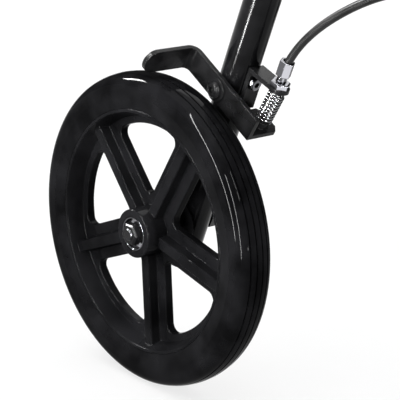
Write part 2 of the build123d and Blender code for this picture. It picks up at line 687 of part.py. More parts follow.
# ------------------------------------------------------------------ fold hinge
CHEEK_IN = 16.0
CHEEK_W = 5.0
CHEEK_R = 17.0
PIN_R = 5.0
TONGUE_R = 14.0
BRACKET_BASE = HEAD_TOP + CUP_FLANGE + 0.3
GUIDE_U = 33.0           # cable guides in front of the hinge
GUIDE_Y = 10.0
GUIDE_LOW = 256.0
GUIDE_HIGH = 264.0

with BuildPart() as fold_bracket:
    with BuildSketch(along(STEER, BRACKET_BASE)):
        Circle(HEAD_R + 1.5)
    extrude(amount=PIVOT_H - 16 - BRACKET_BASE)
    for y in (-CHEEK_IN - CHEEK_W, CHEEK_IN):
        with BuildSketch(across(STEER, 0, y, 0)):
            with Locations((0, PIVOT_H)):
                Circle(CHEEK_R)
            with Locations((0, (PIVOT_H + BRACKET_BASE + 6) / 2)):
                Rectangle(2 * CHEEK_R, PIVOT_H - BRACKET_BASE - 6)
        extrude(amount=-CHEEK_W)
    with BuildSketch(along(STEER, GUIDE_LOW)):
        with Locations((HEAD_R + 4, 0)):
            Rectangle(22, 2 * GUIDE_Y + 12)
        with Locations((GUIDE_U, -GUIDE_Y), (GUIDE_U, GUIDE_Y)):
            Circle(6)
    extrude(amount=GUIDE_HIGH - GUIDE_LOW)
    with BuildSketch(along(STEER, GUIDE_LOW)):
        with Locations((GUIDE_U, -GUIDE_Y), (GUIDE_U, GUIDE_Y)):
            Circle(CABLE_R + 0.1)
    extrude(amount=GUIDE_HIGH - GUIDE_LOW, mode=Mode.SUBTRACT)
    with BuildSketch(along(STEER, BRACKET_BASE)):
        Circle(STEERER_R)
    extrude(amount=PIVOT_H - 18 - BRACKET_BASE, mode=Mode.SUBTRACT)
    with BuildSketch(across(STEER, 0, -30, PIVOT_H)):
        Circle(PIN_R)
    extrude(amount=-60, mode=Mode.SUBTRACT)
write(fold_bracket.part, "fold_bracket")

PIN_HALF = CHEEK_IN + CHEEK_W
with BuildPart() as fold_pin:
    with BuildSketch(across(STEER, 0, -PIN_HALF - 3, PIVOT_H)):
        Circle(PIN_R)
    extrude(amount=-2 * PIN_HALF - 3)
    with BuildSketch(across(STEER, 0, PIN_HALF, PIVOT_H)):
        RegularPolygon(8.5, 6, major_radius=False)
    extrude(amount=-7)
    with BuildSketch(across(STEER, 0, -PIN_HALF - 3, PIVOT_H)):
        Circle(9)
        Circle(PIN_R, mode=Mode.SUBTRACT)
    extrude(amount=-3)
write(fold_pin.part, "fold_pin")


def quick_release(plane, length):
    """Cam lever: barrel turning about the plane's Z, handle along its Y, skewer along its X."""
    with BuildPart() as lever:
        with BuildSketch(plane.offset(-6)):
            Circle(7)
            with BuildLine():
                Polyline((0, 0), (7, 0), (9.5, length), (5.5, length), (1.5, 12), close=True)
            make_face()
            with Locations((7.5, length)):
                Circle(2.6)
        extrude(amount=12)
        fillet(lever.edges().filter_by(lambda e: e.length > length / 2), 1.2)
    return lever.part


def cam_plane(u, y, h):
    """Frame of a closed lever on the scooter's right: skewer outwards, handle down the axis."""
    return Plane(origin=at(STEER, u, y, h), x_dir=-STEER.y_dir, z_dir=STEER.x_dir)


FOLD_CAM_Y = -PIN_HALF - 3 - 7.3
write(quick_release(cam_plane(0, FOLD_CAM_Y, PIVOT_H), 52), "fold_lever")

# ------------------------------------------------------------------ steering column
COLUMN_R = 17.5
COLUMN_LOW = PIVOT_H + 20
CLAMP_LOW = COLUMN_TOP - 26
CLAMP_R = 21.5
EAR_X = 30.0             # skewer, from the tube's centre-line
EAR_HALF = 8.0
COLUMN_GUIDE_U = 21.5     # cable guides on the front of the column
COLUMN_GUIDE_Y = 6.0
COLUMN_GUIDES = (345.0, 470.0)
GUIDE_H = 8.0

with BuildPart() as column:
    with BuildSketch(across(STEER, 0, -CHEEK_IN + 0.3, 0)):
        with Locations((0, PIVOT_H)):
            Circle(TONGUE_R)
        with Locations((0, (PIVOT_H + COLUMN_LOW) / 2 + 2)):
            Rectangle(2 * TONGUE_R, COLUMN_LOW - PIVOT_H + 4)
    extrude(amount=-2 * (CHEEK_IN - 0.3))
    with BuildSketch(along(STEER, COLUMN_LOW)):
        Circle(COLUMN_R)
    extrude(amount=COLUMN_TOP - COLUMN_LOW)
    for height in COLUMN_GUIDES:
        with BuildSketch(along(STEER, height)):
            with Locations((COLUMN_GUIDE_U - 3, 0)):
                Rectangle(6, 2 * COLUMN_GUIDE_Y)
            with Locations((COLUMN_GUIDE_U, -COLUMN_GUIDE_Y), (COLUMN_GUIDE_U, COLUMN_GUIDE_Y)):
                Circle(4)
        extrude(amount=GUIDE_H)
        with BuildSketch(along(STEER, height)):
            with Locations((COLUMN_GUIDE_U, -COLUMN_GUIDE_Y), (COLUMN_GUIDE_U, COLUMN_GUIDE_Y)):
                Circle(CABLE_R + 0.1)
        extrude(amount=GUIDE_H, mode=Mode.SUBTRACT)
    with BuildSketch(along(STEER, COLUMN_LOW + 6)):
        Circle(POST_R + RUN_FIT)
    extrude(amount=COLUMN_TOP - COLUMN_LOW, mode=Mode.SUBTRACT)
    with BuildSketch(across(STEER, 0, -30, PIVOT_H)):
        Circle(PIN_R + RUN_FIT)
    extrude(amount=-60, mode=Mode.SUBTRACT)
write(column.part, "column")


def clamp_collar(plane, tube_r, outer_r, low, high):
    """Split collar with two ears along the plane's X, and the skewer and nut through them."""
    middle = (low + high) / 2
    with BuildPart() as collar:
        with BuildSketch(along(plane, low)):
            Circle(outer_r)
            with Locations((EAR_X / 2 + 4, 0)):
                Rectangle(EAR_X + 8, 2 * EAR_HALF)
            Circle(tube_r, mode=Mode.SUBTRACT)
            with Locations((tube_r + 15, 0)):
                Rectangle(40, 3, mode=Mode.SUBTRACT)
        extrude(amount=high - low)
        with BuildSketch(across(plane, EAR_X, -EAR_HALF, middle)):
            Circle(3)
        extrude(amount=-2 * EAR_HALF, mode=Mode.SUBTRACT)
    with BuildPart() as skewer:
        with BuildSketch(across(plane, EAR_X, -EAR_HALF, middle)):
            Circle(3)
        extrude(amount=-2 * EAR_HALF)
        with BuildSketch(across(plane, EAR_X, EAR_HALF, middle)):
            RegularPolygon(5.5, 6, major_radius=False)
        extrude(amount=-5)
    return Part(Compound([collar.part.solid(), skewer.part.solid()]).wrapped)


CAM_OFFSET = EAR_HALF + 7.3          # lever's cam, from the middle of the ears
COLUMN_BACK = Plane(origin=STEER.origin, x_dir=-STEER.x_dir, z_dir=STEER.z_dir)
write(clamp_collar(COLUMN_BACK, COLUMN_R, CLAMP_R, CLAMP_LOW, COLUMN_TOP), "column_clamp")
column_cam = Plane(
    origin=at(STEER, -EAR_X, CAM_OFFSET, (CLAMP_LOW + COLUMN_TOP) / 2),
    x_dir=STEER.y_dir,
    z_dir=STEER.x_dir,
)
write(quick_release(column_cam, 48), "column_lever")

# ------------------------------------------------------------------ stem and handlebar
STEM_BOTTOM = 400.0
STEM_BORE = 12.3
CRADLE_R = 17.0
CRADLE_HALF = 20.0
CLAMP_GAP = 0.6
BEND_IN = 40.0
BEND_OUT = 72.0
GRIP_IN = 96.0
GRIP_R = 15.5
GRIP_H = BAR_H + BAR_RISE

with BuildPart() as stem:
    with BuildSketch(along(STEER, STEM_BOTTOM)):
        Circle(POST_R)
        Circle(STEM_BORE, mode=Mode.SUBTRACT)
    extrude(amount=BAR_H - STEM_BOTTOM)
    with BuildSketch(across(STEER, 0, -CRADLE_HALF, BAR_H)):
        Circle(CRADLE_R)
        with Locations((0, 50 - CLAMP_GAP)):
            Rectangle(100, 100, mode=Mode.SUBTRACT)
    extrude(amount=-2 * CRADLE_HALF)
    with BuildSketch(across(STEER, 0, -CRADLE_HALF, BAR_H)):
        Circle(BAR_R)
    extrude(amount=-2 * CRADLE_HALF, mode=Mode.SUBTRACT)
    with BuildSketch(along(STEER, BAR_H - CLAMP_GAP)):
        Rectangle(60, 60)
    extrude(amount=40, mode=Mode.SUBTRACT)
write(stem.part, "stem")

with BuildPart() as handlebar_clamp:
    with BuildSketch(across(STEER, 0, -CRADLE_HALF, BAR_H)):
        Circle(CRADLE_R)
        with Locations((0, CLAMP_GAP - 50)):
            Rectangle(100, 100, mode=Mode.SUBTRACT)
        Circle(BAR_R, mode=Mode.SUBTRACT)
    extrude(amount=-2 * CRADLE_HALF)
    for u in (-CRADLE_R + 2.9, CRADLE_R - 2.9):
        for y in (-12, 12):
            with BuildSketch(along(STEER, BAR_H + CLAMP_GAP, u, y)):
                Circle(3.6)
            extrude(amount=12)
            with BuildSketch(along(STEER, BAR_H + CLAMP_GAP + 9, u, y)):
                RegularPolygon(1.8, 6, major_radius=False)
            extrude(amount=4, mode=Mode.SUBTRACT)
    with BuildSketch(across(STEER, 0, -CRADLE_HALF, BAR_H)):
        Circle(BAR_R)
    extrude(amount=-2 * CRADLE_HALF, mode=Mode.SUBTRACT)
write(handlebar_clamp.part, "handlebar_clamp")

with BuildPart() as handlebar:
    with BuildLine():
        bar_path = FilletPolyline(
            at(STEER, BAR_BACK, -BAR_HALF, GRIP_H),
            at(STEER, BAR_BACK, -BEND_OUT, GRIP_H),
            at(STEER, 0, -BEND_IN, BAR_H),
            at(STEER, 0, BEND_IN, BAR_H),
            at(STEER, BAR_BACK, BEND_OUT, GRIP_H),
            at(STEER, BAR_BACK, BAR_HALF, GRIP_H),
            radius=[20, 20, 20, 20],
        )
    with BuildSketch(across(STEER, BAR_BACK, -BAR_HALF, GRIP_H)):
        Circle(BAR_R)
        Circle(BAR_R - 1.6, mode=Mode.SUBTRACT)
    sweep(path=bar_path)
write(handlebar.part, "handlebar")

with BuildPart() as grip:
    with BuildSketch(across(STEER, BAR_BACK, -BAR_HALF - 2, GRIP_H)):
        Circle(GRIP_R)
    extrude(amount=-(BAR_HALF + 2 - GRIP_IN))
    with BuildSketch(across(STEER, BAR_BACK, -BAR_HALF, GRIP_H)):
        Circle(BAR_R)
    extrude(amount=-(BAR_HALF - GRIP_IN), mode=Mode.SUBTRACT)
    with BuildSketch(across(STEER, BAR_BACK, -GRIP_IN - 3, GRIP_H)):
        Circle(GRIP_R + 3.5)
        Circle(BAR_R, mode=Mode.SUBTRACT)
    extrude(amount=-3)
    fillet(grip.edges().filter_by(GeomType.CIRCLE).group_by(Axis.Y)[0], 3)
write(both_sides(grip.part), "grips")

# ------------------------------------------------------------------ brake lever
LEVER_Y = -84.0          # middle of the clamp ring
LEVER_PIVOT_U = BAR_BACK + 27
LEVER_PIVOT_Y = -80.0
LEVER_TIP_Y = -186.0
LEVER_TIP_U = 33.0
BLADE_HALF = 6.0
BUTTON_U = BAR_BACK + 15.5
BUTTON_Y = LEVER_Y + 10

with BuildPart() as lever_housing:
    with BuildSketch(across(STEER, BAR_BACK, LEVER_Y - 9, GRIP_H)):
        Circle(BAR_R + 4.5)
    extrude(amount=-18)
    with BuildSketch(along(STEER, GRIP_H - 10)):
        with BuildLine():
            Polyline(
                (BAR_BACK + 8, LEVER_Y - 9),
                (LEVER_PIVOT_U + 4, LEVER_PIVOT_Y - 7),
                (LEVER_PIVOT_U + 7, LEVER_PIVOT_Y),
                (LEVER_PIVOT_U + 7, LEVER_Y + 15),
                (BAR_BACK + 8, LEVER_Y + 15),
                close=True,
            )
        make_face()
    extrude(amount=20)
    with BuildSketch(along(STEER, GRIP_H - BLADE_HALF - 0.3)):
        with Locations((LEVER_PIVOT_U + 12, LEVER_PIVOT_Y - 8)):
            Rectangle(38, 34)
    extrude(amount=2 * BLADE_HALF + 0.6, mode=Mode.SUBTRACT)
    with BuildSketch(across(STEER, BAR_BACK, LEVER_Y - 20, GRIP_H)):
        Circle(BAR_R)
    extrude(amount=-50, mode=Mode.SUBTRACT)
    with BuildSketch(along(STEER, GRIP_H - 20, LEVER_PIVOT_U, LEVER_PIVOT_Y)):
        Circle(2.5)
    extrude(amount=40, mode=Mode.SUBTRACT)
    with BuildSketch(along(STEER, GRIP_H - 20, BUTTON_U, BUTTON_Y)):
        Circle(3)
    extrude(amount=40, mode=Mode.SUBTRACT)
    for h in (GRIP_H - 4, GRIP_H + 4):
        with BuildSketch(across(STEER, LEVER_PIVOT_U, LEVER_Y + 15, h)):
            Circle(3.6)
        extrude(amount=-5)
        with BuildSketch(across(STEER, LEVER_PIVOT_U, LEVER_Y + 13, h)):
            Circle(CABLE_R)
        extrude(amount=-12, mode=Mode.SUBTRACT)
with BuildPart() as lever_pin:
    with BuildSketch(along(STEER, GRIP_H - 11, LEVER_PIVOT_U, LEVER_PIVOT_Y)):
        Circle(2.5)
    extrude(amount=22)
write(
    Part(Compound([*lever_housing.part.solids(), lever_pin.part.solid()]).wrapped),
    "lever_housing",
)

with BuildPart() as brake_lever:
    with BuildSketch(along(STEER, GRIP_H - BLADE_HALF)):
        with BuildLine():
            Line((LEVER_PIVOT_U - 5, LEVER_PIVOT_Y + 3), (LEVER_PIVOT_U - 4.5, LEVER_PIVOT_Y - 12))
            Spline(
                (LEVER_PIVOT_U - 4.5, LEVER_PIVOT_Y - 12),
                (LEVER_PIVOT_U + 7, LEVER_PIVOT_Y - 45),
                (LEVER_TIP_U - 2, LEVER_TIP_Y),
            )
            Line((LEVER_TIP_U - 2, LEVER_TIP_Y), (LEVER_TIP_U + 4, LEVER_TIP_Y))
            Spline(
                (LEVER_TIP_U + 4, LEVER_TIP_Y),
                (LEVER_PIVOT_U + 13, LEVER_PIVOT_Y - 45),
                (LEVER_PIVOT_U + 5, LEVER_PIVOT_Y - 12),
            )
            Polyline(
                (LEVER_PIVOT_U + 5, LEVER_PIVOT_Y - 12),
                (LEVER_PIVOT_U + 5, LEVER_PIVOT_Y + 3),
                (LEVER_PIVOT_U - 5, LEVER_PIVOT_Y + 3),
            )
        make_face()
        with Locations((LEVER_TIP_U + 1, LEVER_TIP_Y)):
            Circle(5.2)
    extrude(amount=2 * BLADE_HALF)
    with BuildSketch(along(STEER, GRIP_H - 10, LEVER_PIVOT_U, LEVER_PIVOT_Y)):
        Circle(2.5 + RUN_FIT)
    extrude(amount=20, mode=Mode.SUBTRACT)
write(brake_lever.part, "brake_lever")

with BuildPart() as parking_button:
    with BuildSketch(along(STEER, GRIP_H + 6.5, BUTTON_U, BUTTON_Y)):
        Circle(3 - RUN_FIT)
    extrude(amount=8)
    with BuildSketch(along(STEER, GRIP_H + 14, BUTTON_U, BUTTON_Y)):
        Circle(4.5)
    extrude(amount=4)
    fillet(parking_button.edges().filter_by(GeomType.CIRCLE).sort_by(Axis.Z)[-1], 1)
write(parking_button.part, "parking_button")

# ------------------------------------------------------------------ knee pad
SEAT = Plane(origin=(SEAT_X, 0, 0), x_dir=(1, 0, 0), z_dir=(0, 0, 1))
POST_BOTTOM = 175.0
PLATE_W = 4.0

write(
    clamp_collar(SEAT, SEAT_TUBE_R, CLAMP_R, SEAT_TUBE_TOP - 24, SEAT_TUBE_TOP), "seat_clamp"
)
seat_cam = Plane(
    origin=(SEAT_X + EAR_X, -CAM_OFFSET, SEAT_TUBE_TOP - 12), x_dir=(0, -1, 0), z_dir=(0, 0, 1)
)
write(quick_release(seat_cam, 48), "seat_lever")

with BuildPart() as seat_post:
    with BuildSketch(Plane.XY.offset(POST_BOTTOM)):
        with Locations((SEAT_X, 0)):
            Circle(POST_R)
            Circle(POST_R - 2, mode=Mode.SUBTRACT)
    extrude(amount=PAD_BOTTOM - PLATE_W - POST_BOTTOM)
write(seat_post.part, "seat_post")

with BuildPart() as pad_plate:
    with BuildSketch(Plane.XY.offset(PAD_BOTTOM - PLATE_W)):
        with Locations((SEAT_X, 0)):
            RectangleRounded(170, 130, 10)
    extrude(amount=PLATE_W)
    with BuildSketch(Plane.XY.offset(PAD_BOTTOM - PLATE_W - 14)):
        with Locations((SEAT_X, 0)):
            Circle(POST_R + 4)
            Circle(POST_R, mode=Mode.SUBTRACT)
    extrude(amount=14)
    with BuildSketch(Plane.XY.offset(PAD_BOTTOM - PLATE_W - 3)):
        with Locations((SEAT_X, 0)):
            with GridLocations(130, 90, 2, 2):
                RegularPolygon(5, 6, major_radius=False)
    extrude(amount=3)
write(pad_plate.part, "pad_plate")

with BuildPart() as knee_pads:
    pad_x, pad_run = (PAD_BACK + PAD_FRONT) / 2, PAD_FRONT - PAD_BACK
    for side in (-1, 1):
        with BuildSketch(Plane.XY.offset(PAD_BOTTOM)):
            with Locations((pad_x, side * (PAD_HALF + 3) / 2)):
                RectangleRounded(pad_run, PAD_HALF - 3, 20)
        extrude(amount=PAD_TOP - PAD_BOTTOM)
    fillet(knee_pads.edges().group_by(Axis.Z)[-1], 14)
write(knee_pads.part, "knee_pads")

# ------------------------------------------------------------------ brake cables
RAIL_CABLE_Z = RAIL_Z - TUBE_R - CABLE_R - 0.1
LAST_CLIP = 82.0         # from the head tube's axis, along the rail
BAR_INLET_Y = LEVER_Y + 20


def wheel_point(x, z):
    """A point over the leg's centre-line, in the rear right wheel's frame."""
    return Vector(REAR_X + x, -TUBE_Y, AXLE_Z + z)


def bend_radii(points, share=0.45):
    """The largest arc that each corner's two runs allow."""
    radii = []
    for before, here, after in zip(points, points[1:], points[2:]):
        run = min((here - before).length, (after - here).length)
        turn = radians((here - before).get_angle(after - here))
        radii.append(share * run / tan(turn / 2))
    return radii


def cable(points, rail_bend=None):
    """One length of cable housing along its route; at rail_bend it keeps the rail's radius."""
    radii = bend_radii(points)
    if rail_bend:
        radii[rail_bend - 1] = TOE_IN_R
    with BuildPart() as housing:
        with BuildLine():
            route = FilletPolyline(*points, radius=radii)
        with BuildSketch(Plane(origin=points[0], z_dir=points[1] - points[0])):
            Circle(CABLE_R)
        sweep(path=route)
    print("cable length", round(route.length, 1), "radii", [round(r) for r in radii])
    return housing.part


frame_route = [
    at(LEG, ADJUSTER_S, 0, BARREL_LOW + 0.5),
    at(LEG, ADJUSTER_S, 0, BARREL_TOP + 3),
    wheel_point(111, 142.9),
    wheel_point(150, 163),
    Vector(REAR_X + 186, -TUBE_Y, RAIL_CABLE_Z),
    Vector(TOE_IN_X, -TUBE_Y, RAIL_CABLE_Z),
    rail_end - RAIL_DIR * LAST_CLIP - Vector(0, 0, RAIL_Z - RAIL_CABLE_Z),
]
write(both_sides(cable(frame_route, rail_bend=5)), "cables_frame")

clip_end = frame_route[-1]
steer_route = [
    clip_end,
    clip_end + RAIL_DIR * 12,
    at(STEER, -8, -35, 178),
    at(STEER, 15, -35, 194),
    at(STEER, 29, -24, 218),
    at(STEER, GUIDE_U, -GUIDE_Y, GUIDE_LOW - 12),
    at(STEER, GUIDE_U, -GUIDE_Y, GUIDE_HIGH),
]
write(both_sides(cable(steer_route)), "cables_steer")

fold_route = [
    at(STEER, GUIDE_U, -GUIDE_Y, GUIDE_HIGH),
    at(STEER, GUIDE_U, -GUIDE_Y, GUIDE_HIGH + 24),
    at(STEER, COLUMN_GUIDE_U, -COLUMN_GUIDE_Y, COLUMN_GUIDES[0] - 19),
    at(STEER, COLUMN_GUIDE_U, -COLUMN_GUIDE_Y, COLUMN_GUIDES[0] + GUIDE_H),
]
write(both_sides(cable(fold_route)), "cables_fold")


def stem_route(side):
    """From the lower column guide, up the column, to the lever's inlet; side -1 is right."""
    y, h = side * COLUMN_GUIDE_Y, -side * 4.0
    return [
        at(STEER, COLUMN_GUIDE_U, y, COLUMN_GUIDES[0] + GUIDE_H),
        at(STEER, COLUMN_GUIDE_U, y, COLUMN_GUIDES[1] + GUIDE_H + 14),
        at(STEER, COLUMN_GUIDE_U + 5, y, CLAMP_LOW - 2),
        at(STEER, COLUMN_GUIDE_U + 6.5, y, 560),
        at(STEER, 36, 0.7 * y - 2, 612),
        at(STEER, 41, 0.6 * y - 8, 662 + 0.3 * h),
        at(STEER, 39, 0.5 * y - 19, 708 + 0.5 * h),
        at(STEER, 33, 0.3 * y - 34, 750 + 0.8 * h),
        at(STEER, 24, -46, 780 + h),
        at(STEER, LEVER_PIVOT_U, BAR_INLET_Y + 6, GRIP_H + h),
        at(STEER, LEVER_PIVOT_U, BAR_INLET_Y - 7, GRIP_H + h),
    ]


stem_cables = [cable(stem_route(side)) for side in (-1, 1)]
write(Part(Compound([c.solid() for c in stem_cables]).wrapped), "cables_stem")

CLIP_W = 6.0
clip_planes = [Plane((TOE_IN_X - 37, -TUBE_Y, RAIL_Z), x_dir=(0, 1, 0), z_dir=(1, 0, 0))]
for distance in (200.0, 130.0, LAST_CLIP + CLIP_W):
    clip_planes.append(
        Plane(
            rail_end - RAIL_DIR * distance,
            x_dir=RAIL_DIR.cross(Vector(0, 0, -1)),
            z_dir=RAIL_DIR,
        )
    )
with BuildPart() as cable_clips:
    for plane in clip_planes:
        for grow, mode in ((1.2, Mode.ADD), (0, Mode.SUBTRACT)):
            with BuildSketch(plane):
                with BuildSketch(mode=Mode.PRIVATE) as rings:
                    Circle(TUBE_R + grow)
                    with Locations((0, RAIL_CABLE_Z - RAIL_Z)):
                        Circle(CABLE_R + grow)
                add(make_hull(rings.sketch.edges()))
            extrude(amount=CLIP_W, mode=mode)
write(both_sides(cable_clips.part), "cable_clips")
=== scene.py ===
import json
from math import cos, pi, radians, sin

import bmesh
import bpy
from mathutils import Matrix, Vector

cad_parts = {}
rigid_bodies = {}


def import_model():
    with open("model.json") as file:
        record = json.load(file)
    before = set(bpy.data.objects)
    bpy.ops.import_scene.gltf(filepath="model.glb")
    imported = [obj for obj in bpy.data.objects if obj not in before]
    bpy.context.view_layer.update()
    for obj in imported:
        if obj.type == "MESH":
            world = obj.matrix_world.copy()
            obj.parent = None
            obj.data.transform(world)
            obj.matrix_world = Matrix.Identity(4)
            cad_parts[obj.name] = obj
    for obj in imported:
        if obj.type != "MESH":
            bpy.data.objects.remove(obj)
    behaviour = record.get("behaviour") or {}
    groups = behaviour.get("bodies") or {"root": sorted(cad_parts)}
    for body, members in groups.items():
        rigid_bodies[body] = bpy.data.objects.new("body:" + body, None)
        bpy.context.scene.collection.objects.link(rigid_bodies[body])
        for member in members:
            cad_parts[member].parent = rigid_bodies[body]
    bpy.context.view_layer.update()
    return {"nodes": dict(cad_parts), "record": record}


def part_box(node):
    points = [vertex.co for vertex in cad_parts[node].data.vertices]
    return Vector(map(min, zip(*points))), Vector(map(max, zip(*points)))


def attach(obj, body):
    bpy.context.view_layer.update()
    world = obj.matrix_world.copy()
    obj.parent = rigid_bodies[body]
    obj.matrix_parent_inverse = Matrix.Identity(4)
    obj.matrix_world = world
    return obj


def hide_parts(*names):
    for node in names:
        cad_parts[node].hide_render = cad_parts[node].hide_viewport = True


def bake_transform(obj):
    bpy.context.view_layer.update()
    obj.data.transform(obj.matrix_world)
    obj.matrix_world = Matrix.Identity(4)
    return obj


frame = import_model()
nodes = frame["nodes"]
scene = bpy.context.scene

# ------------------------------------------------------------------ camera
AIM = Vector((-0.275, -0.190, 0.1016))  # centre of the photographed wheel
AZ, EL = radians(51.2047), radians(17.5697)
DISTANCE, LEFT, DOWN = 0.913238, 0.033621, 0.0204335
away = Vector((sin(AZ) * cos(EL), -cos(AZ) * cos(EL), sin(EL)))
look = -away
right = look.cross(Vector((0, 0, 1))).normalized()
up = right.cross(look)
look2 = look * cos(LEFT) + right * sin(LEFT)
right2 = right * cos(LEFT) - look * sin(LEFT)
look3 = look2 * cos(DOWN) + up * sin(DOWN)
up3 = up * cos(DOWN) - look2 * sin(DOWN)
cam_data = bpy.data.cameras.new("camera")
cam_data.sensor_fit = "HORIZONTAL"
cam_data.sensor_width = 36
cam_data.lens = 128.93
cam_data.clip_start, cam_data.clip_end = 0.01, 50
cam = bpy.data.objects.new("camera", cam_data)
cam.matrix_world = Matrix.Translation(AIM + away * DISTANCE) @ Matrix(
    (right2, up3, -look3)
).transposed().to_4x4()
scene.collection.objects.link(cam)
scene.camera = cam

# ------------------------------------------------------------------ materials


class Shader:
    """A Principled material built up from a few procedural layers."""

    def __init__(self, name, metallic=0.0, specular=0.5, edge=0.0):
        self.material = bpy.data.materials.new(name)
        self.material.use_nodes = True
        self.tree = self.material.node_tree
        self.shader = self.tree.nodes["Principled BSDF"]
        self.set("Metallic", metallic)
        self.set("Specular IOR Level", specular)
        self.normal = None
        if edge:
            bevel = self.node("ShaderNodeBevel")
            bevel.samples = 6
            bevel.inputs["Radius"].default_value = edge
            self.normal = bevel.outputs["Normal"]
            self.link(self.normal, self.shader.inputs["Normal"])

    def node(self, kind):
        return self.tree.nodes.new(kind)

    def link(self, source, target):
        self.tree.links.new(source, target)

    def set(self, socket, value):
        self.shader.inputs[socket].default_value = value

    def coordinates(self, stretch=(1, 1, 1)):
        place, mapping = self.node("ShaderNodeTexCoord"), self.node("ShaderNodeMapping")
        mapping.inputs["Scale"].default_value = stretch
        self.link(place.outputs["Object"], mapping.inputs["Vector"])
        return mapping.outputs["Vector"]

    def noise(self, scale, detail=4.0, roughness=0.5, stretch=(1, 1, 1)):
        noise = self.node("ShaderNodeTexNoise")
        noise.inputs["Scale"].default_value = scale
        noise.inputs["Detail"].default_value = detail
        noise.inputs["Roughness"].default_value = roughness
        self.link(self.coordinates(stretch), noise.inputs["Vector"])
        return noise.outputs["Fac"]

    def ramp(self, fac, stops):
        ramp = self.node("ShaderNodeValToRGB")
        while len(ramp.color_ramp.elements) < len(stops):
            ramp.color_ramp.elements.new(0.5)
        for element, (place, color) in zip(ramp.color_ramp.elements, stops):
            element.position = place
            element.color = (*color, 1)
        self.link(fac, ramp.inputs["Fac"])
        return ramp.outputs["Color"]

    def bump(self, height, strength, distance):
        bump = self.node("ShaderNodeBump")
        bump.inputs["Strength"].default_value = strength
        bump.inputs["Distance"].default_value = distance
        self.link(height, bump.inputs["Height"])
        if self.normal is not None:
            self.link(self.normal, bump.inputs["Normal"])
        self.normal = bump.outputs["Normal"]
        self.link(self.normal, self.shader.inputs["Normal"])
        return self

    def painted_crevice_shade(self, reach, rim):
        """1 on open faces, towards 0 in gaps, within reach, and along sharp edges, within rim: a mask
        that paints shade into gaps and dark lines along edges.
        """
        product = self.node("ShaderNodeMath")
        product.operation = "MULTIPLY"
        for socket, inside, distance in zip(product.inputs, (False, True), (reach, rim)):
            shade = self.node("ShaderNodeAmbientOcclusion")
            shade.samples = 8
            shade.inside = inside
            shade.inputs["Distance"].default_value = distance
            self.link(shade.outputs["AO"], socket)
        return product.outputs[0]

    def vary_color(self, fac, dark, light, low=0.35, high=0.65):
        self.link(self.ramp(fac, ((low, dark), (high, light))), self.shader.inputs["Base Color"])
        return self

    def vary_rough(self, fac, smooth, coarse, low=0.3, high=0.7):
        levels = ((low, grey(smooth)), (high, grey(coarse)))
        self.link(self.ramp(fac, levels), self.shader.inputs["Roughness"])
        return self


def grey(level, blue=1.0):
    return (level, level, level * blue)


powder = Shader("powder_coat", specular=0.08, edge=0.0008)
powder.vary_color(powder.noise(60), grey(0.0008, 1.1), grey(0.002, 1.1))
powder.vary_rough(powder.noise(25), 0.11, 0.19)
powder.bump(powder.noise(1400, 2), 0.08, 0.00005)

satin = Shader("satin_steel", specular=0.08, edge=0.0006)
satin.vary_color(satin.noise(90), grey(0.001, 1.05), grey(0.003, 1.05))
satin.vary_rough(satin.noise(40), 0.2, 0.3)
satin.bump(satin.noise(1800, 3), 0.12, 0.00005)

plastic = Shader("wheel_plastic", specular=0.035, edge=0.0011)
plastic.vary_color(plastic.noise(30), grey(0.0004, 1.1), grey(0.0012, 1.1))
plastic.vary_rough(plastic.noise(70), 0.065, 0.08)
plastic.bump(plastic.noise(900, 3), 0.05, 0.00003)
plastic.set("IOR", 1.22)

tyre = Shader("tyre_rubber", specular=0.04)
tyre.vary_color(tyre.noise(45, 6), grey(0.0003, 1.1), grey(0.001, 1.1))
tyre.vary_rough(tyre.noise(90, 5), 0.052, 0.064)
tyre.bump(tyre.noise(1100, 4), 0.05, 0.00002)
tyre.set("IOR", 1.22)

chrome = Shader("chrome", metallic=1.0, edge=0.0003)
chrome.vary_rough(chrome.noise(200), 0.05, 0.14)
# Painted shade: the base colour darkens towards black in gaps and along sharp edges.
chrome.vary_color(
    chrome.painted_crevice_shade(0.003, 0.0007), (0.008, 0.008, 0.009), (0.34, 0.34, 0.36), 0.45, 0.9
)

spring = Shader("spring_wire", metallic=1.0)
spring.vary_rough(spring.noise(260), 0.08, 0.16)
# Painted shade: the base colour darkens towards black between the coils and along sharp edges.
spring.vary_color(
    spring.painted_crevice_shade(0.0025, 0.0001), grey(0.003), (0.13, 0.13, 0.135), 0.35, 0.8
)

plated = Shader("plated_steel", metallic=1.0, edge=0.0003)
plated.vary_rough(plated.noise(220), 0.06, 0.14)
# Painted shade: the base colour darkens towards black in gaps and along sharp edges.
plated.vary_color(
    plated.painted_crevice_shade(0.003, 0.0007), grey(0.004), (0.13, 0.13, 0.14), 0.45, 0.9
)

bearing = Shader("bearing_steel", metallic=1.0, edge=0.0003)
bearing.vary_rough(bearing.noise(160), 0.14, 0.3)
bearing.vary_color(bearing.noise(140), (0.2, 0.2, 0.21), (0.36, 0.36, 0.38))

alloy = Shader("aluminium", metallic=1.0, edge=0.0006)
alloy.vary_rough(alloy.noise(30, 3, 0.5, (60, 1, 1)), 0.22, 0.42)
alloy.vary_color(alloy.noise(40), (0.42, 0.42, 0.44), (0.62, 0.62, 0.64))

moulded = Shader("black_plastic", specular=0.22, edge=0.0006)
moulded.vary_color(moulded.noise(70), grey(0.005), grey(0.011))
moulded.vary_rough(moulded.noise(50), 0.3, 0.44)
moulded.bump(moulded.noise(1600, 2), 0.3, 0.0001)

jacket = Shader("cable_black", specular=0.1)
jacket.vary_color(jacket.noise(80), grey(0.0015), grey(0.004))
jacket.vary_rough(jacket.noise(60), 0.28, 0.45)
jacket.bump(jacket.noise(900, 2), 0.12, 0.00006)

